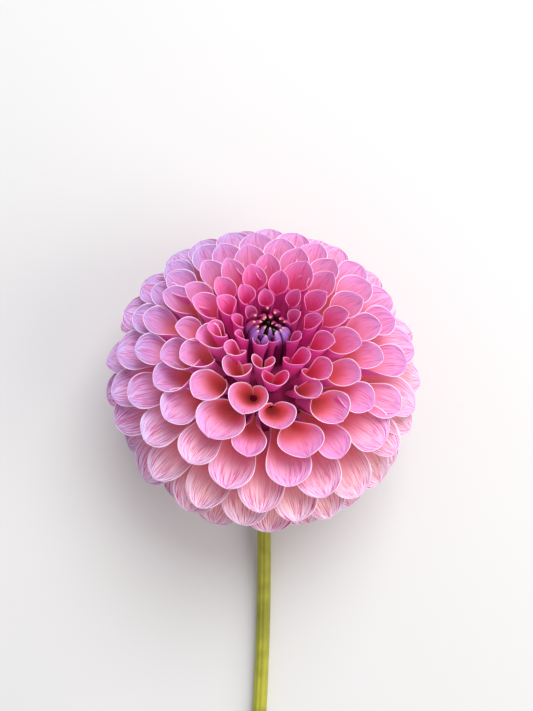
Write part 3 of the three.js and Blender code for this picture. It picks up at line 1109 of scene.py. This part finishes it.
def cup_point(s, t):
    """s runs from the stem, up the outside and in over the top; t goes round."""
    rise = s.step_up(*CUP_RISES)
    body = between(STEM_NECK_RADIUS + 0.4, CALYX_RADIUS, (rise * math.pi / 2).sin() ** 1.4)
    radius = body * (s / CUP_END).at_most(1.0) * ((1 - s) / CUP_END).at_most(1.0)
    rib = 1 + CUP_RIB * (t * math.pi * BRACTS).cos()
    turn = math.pi * t
    high = CALYX_TOP - CALYX_LENGTH + CALYX_LENGTH * rise
    return radius * rib * turn.cos(), radius * rib * turn.sin(), high


def bract_point(n, s, t):
    """A point of a bent-back bract: t goes round its flat section."""
    azimuth = n * (2 * math.pi / BRACTS) + scatter(n, "bract place")
    start = (0.7 * CALYX_RADIUS + 0 * n, CALYX_TOP - 2 + 0 * n)
    reach = BRACT_REACH - 0.3 + scatter(n, "bract reach")
    tip = (reach, CALYX_TOP - BRACT_DROP + scatter(n, "bract drop"))
    midrib = Line(start, (reach, CALYX_TOP - 2 + 0 * n), tip, s)
    width = BRACT_HALF_WIDTH * (math.pi * (0.2 + 0.8 * s)).sin().at_least(0) ** 0.55
    turn = math.pi * t
    across = width * turn.cos()
    deep = BRACT_HALF_THICK * turn.sin() * (1 - 0.6 * s) + BRACT_HOLLOW * across ** 2
    return placed(midrib, azimuth, across, deep)


def calyx_tree():
    """The tree of the cup and the bracts, joined."""
    maker, sizes = tree_with_inputs("calyx", GRID_INPUTS | {"Cup Columns": "NodeSocketInt"})
    grids, n, along, t = numbered_grids(maker, sizes)
    bracts = move_to(maker, grids, bract_point(n, along, t))
    one = maker.value("FunctionNodeInputInt", {"integer": 1})
    cup_sizes = {**sizes, "Florets": one, "Columns": sizes["Cup Columns"]}
    grids, _, along, t = numbered_grids(maker, cup_sizes)
    cup = move_to(maker, grids, cup_point(along, t))
    joined = maker.node("GeometryNodeJoinGeometry")
    for part in (bracts, cup):
        maker.tree.links.new(part.socket, joined.inputs[0])
    whole = Signal(maker, joined.outputs[0])
    finish_tree(maker, merged(maker, whole), sizes["Material"])
    return maker.tree


# %% [markdown]
# ## Green skin
#
# The calyx and the stem share one recipe: two greens in broad soft patches, and fine lines
# that run along the piece and stand up a little. The lines follow the grid's own UV map, so
# they bend with the stem.

# %% Green skin, and the calyx
GREEN_CLOUDS = 90.0
LINE_SHARE = 0.35
CALYX_GREENS = (colour(146, 168, 84), colour(92, 116, 48))
CALYX_LINES = 9


def green_skin(name, pale, deep, ribs):
    """Green skin with fine lines along it, paler or deeper in broad patches."""
    material, maker = new_material(name)
    t = petal_signals(maker)[1]
    place = maker.value("ShaderNodeTexCoord", output="Object")
    noise = {"Vector": place, "Scale": GREEN_CLOUDS, "Detail": 3.0}
    cloud = maker.value("ShaderNodeTexNoise", None, noise)
    line = 0.5 + 0.5 * (t * math.pi * ribs).cos()
    base = mixed(maker, cloud.step_up(*CLOUD_RANGE), pale, deep)
    base = mixed(maker, LINE_SHARE * line, base, deep)
    skin(maker, base, 0.5, bumped(maker, line, 0.3), inside=0.15, reach=2 * MM)
    return material


calyx = grown(
    "calyx_green",
    calyx_tree(),
    {
        "First Floret": 0,
        "Florets": BRACTS,
        "Rows": 26,
        "Columns": 21,
        "Cup Columns": 97,
        "Material": green_skin("calyx green", *CALYX_GREENS, CALYX_LINES),
    },
    bloom_turn,
)
outward(calyx)
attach(calyx, "root")
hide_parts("calyx")
print("calyx:", len(calyx.data.polygons), "faces")

# %% [markdown]
# ## The stem
#
# The stem leaves the calyx along the bloom's axis and bends down to the floor. It is a grid
# again, rolled round a cubic curve. At its far end the sheet turns in over the cut and back
# up inside, because the stem of a dahlia is hollow.

# %% A stem round a curve
STEM_CUT_RADIUS = 2.6
STEM_REST = 2.45
STEM_RIBS = 9
STEM_RIB = 0.025
HOLLOW = 0.5
STEM_IN_CUP = 0.8
STEM_STRAIGHT = 22
# Down the sheet: where the cut is reached, how far the inner wall goes back up, between which
# shares it turns back, where the radius shrinks to the hollow, and where the ends close.
CUT_AT = 0.92
BACK_UP = 0.04
TURNS_BACK = (0.96, 0.985)
SHRINKS = (0.925, 0.95)
END_CLOSES = (0.985, 1.0)
TOP_CLOSES = 0.01
stem_top = bloom_turn @ (Vector((0, 0, CALYX_TOP - CALYX_LENGTH + STEM_IN_CUP)) * MM) / MM
stem_corners = (
    stem_top,
    stem_top - STEM_STRAIGHT * axis,
    Vector((3.563, -8.723, STEM_REST)),
    Vector((-3.337, -98.723, STEM_REST)),
)


def stem_point(u, t):
    """u runs down the stem, over the cut and back inside; t goes round."""
    s = (u / CUT_AT).at_most(1.0) - BACK_UP * u.step_up(*TURNS_BACK)
    r = 1 - s
    a, b, c, d = stem_corners
    place = [
        r * r * r * a[i] + 3 * s * r * r * b[i] + 3 * s * s * r * c[i] + s * s * s * d[i]
        for i in range(3)
    ]
    run = [
        r * r * (b[i] - a[i]) + 2 * s * r * (c[i] - b[i]) + s * s * (d[i] - c[i])
        for i in range(3)
    ]
    length = (run[0] * run[0] + run[1] * run[1] + run[2] * run[2]).root()
    along = [part / length for part in run]
    flat = (1 - along[0] * along[0]).root()
    side = [flat, -1 * along[0] * along[1] / flat, -1 * along[0] * along[2] / flat]
    over = [0 * flat, along[2] / flat, -1 * along[1] / flat]
    turn = math.pi * t
    rib = 1 + STEM_RIB * (STEM_RIBS * turn).cos()
    inside = u.step_up(*SHRINKS)
    radius = between(STEM_NECK_RADIUS, STEM_CUT_RADIUS, s) * rib * (1 - (1 - HOLLOW) * inside)
    radius = radius * (1 - u.step_up(*END_CLOSES)) * (u / TOP_CLOSES).at_most(1.0)
    return [
        place[i] + radius * (side[i] * turn.cos() + over[i] * turn.sin()) for i in range(3)
    ]


# %% The stem
STEM_GREENS = (colour(184, 182, 58), colour(144, 142, 42))
stem = grown(
    "stem_green",
    closed_tree("stem", lambda n, s, t: stem_point(s, t)),
    {
        "First Floret": 0,
        "Florets": 1,
        "Rows": 201,
        "Columns": 73,
        "Material": green_skin("stem green", *STEM_GREENS, STEM_RIBS),
    },
    Matrix.Identity(4),
)
outward(stem)
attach(stem, "root")
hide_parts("stem")
print("stem:", len(stem.data.polygons), "faces")

# %% [markdown]
# ## The floor
#
# A plain pale sheet for the flower to lie on, which sends some light up under the petals. It
# isn't part of the flower.

# %% Floor
FLOOR_SIZE = 4.0
floor_mesh = bpy.data.meshes.new("floor")
half = FLOOR_SIZE / 2
corners = [(-half, -half, 0), (half, -half, 0), (half, half, 0), (-half, half, 0)]
floor_mesh.from_pydata(corners, [], [(0, 1, 2, 3)])
floor = bpy.data.objects.new("floor", floor_mesh)
bpy.context.scene.collection.objects.link(floor)
floor_paint, maker = new_material("pale floor")
skin(maker, colour(226, 224, 220), 0.8)
floor_mesh.materials.append(floor_paint)
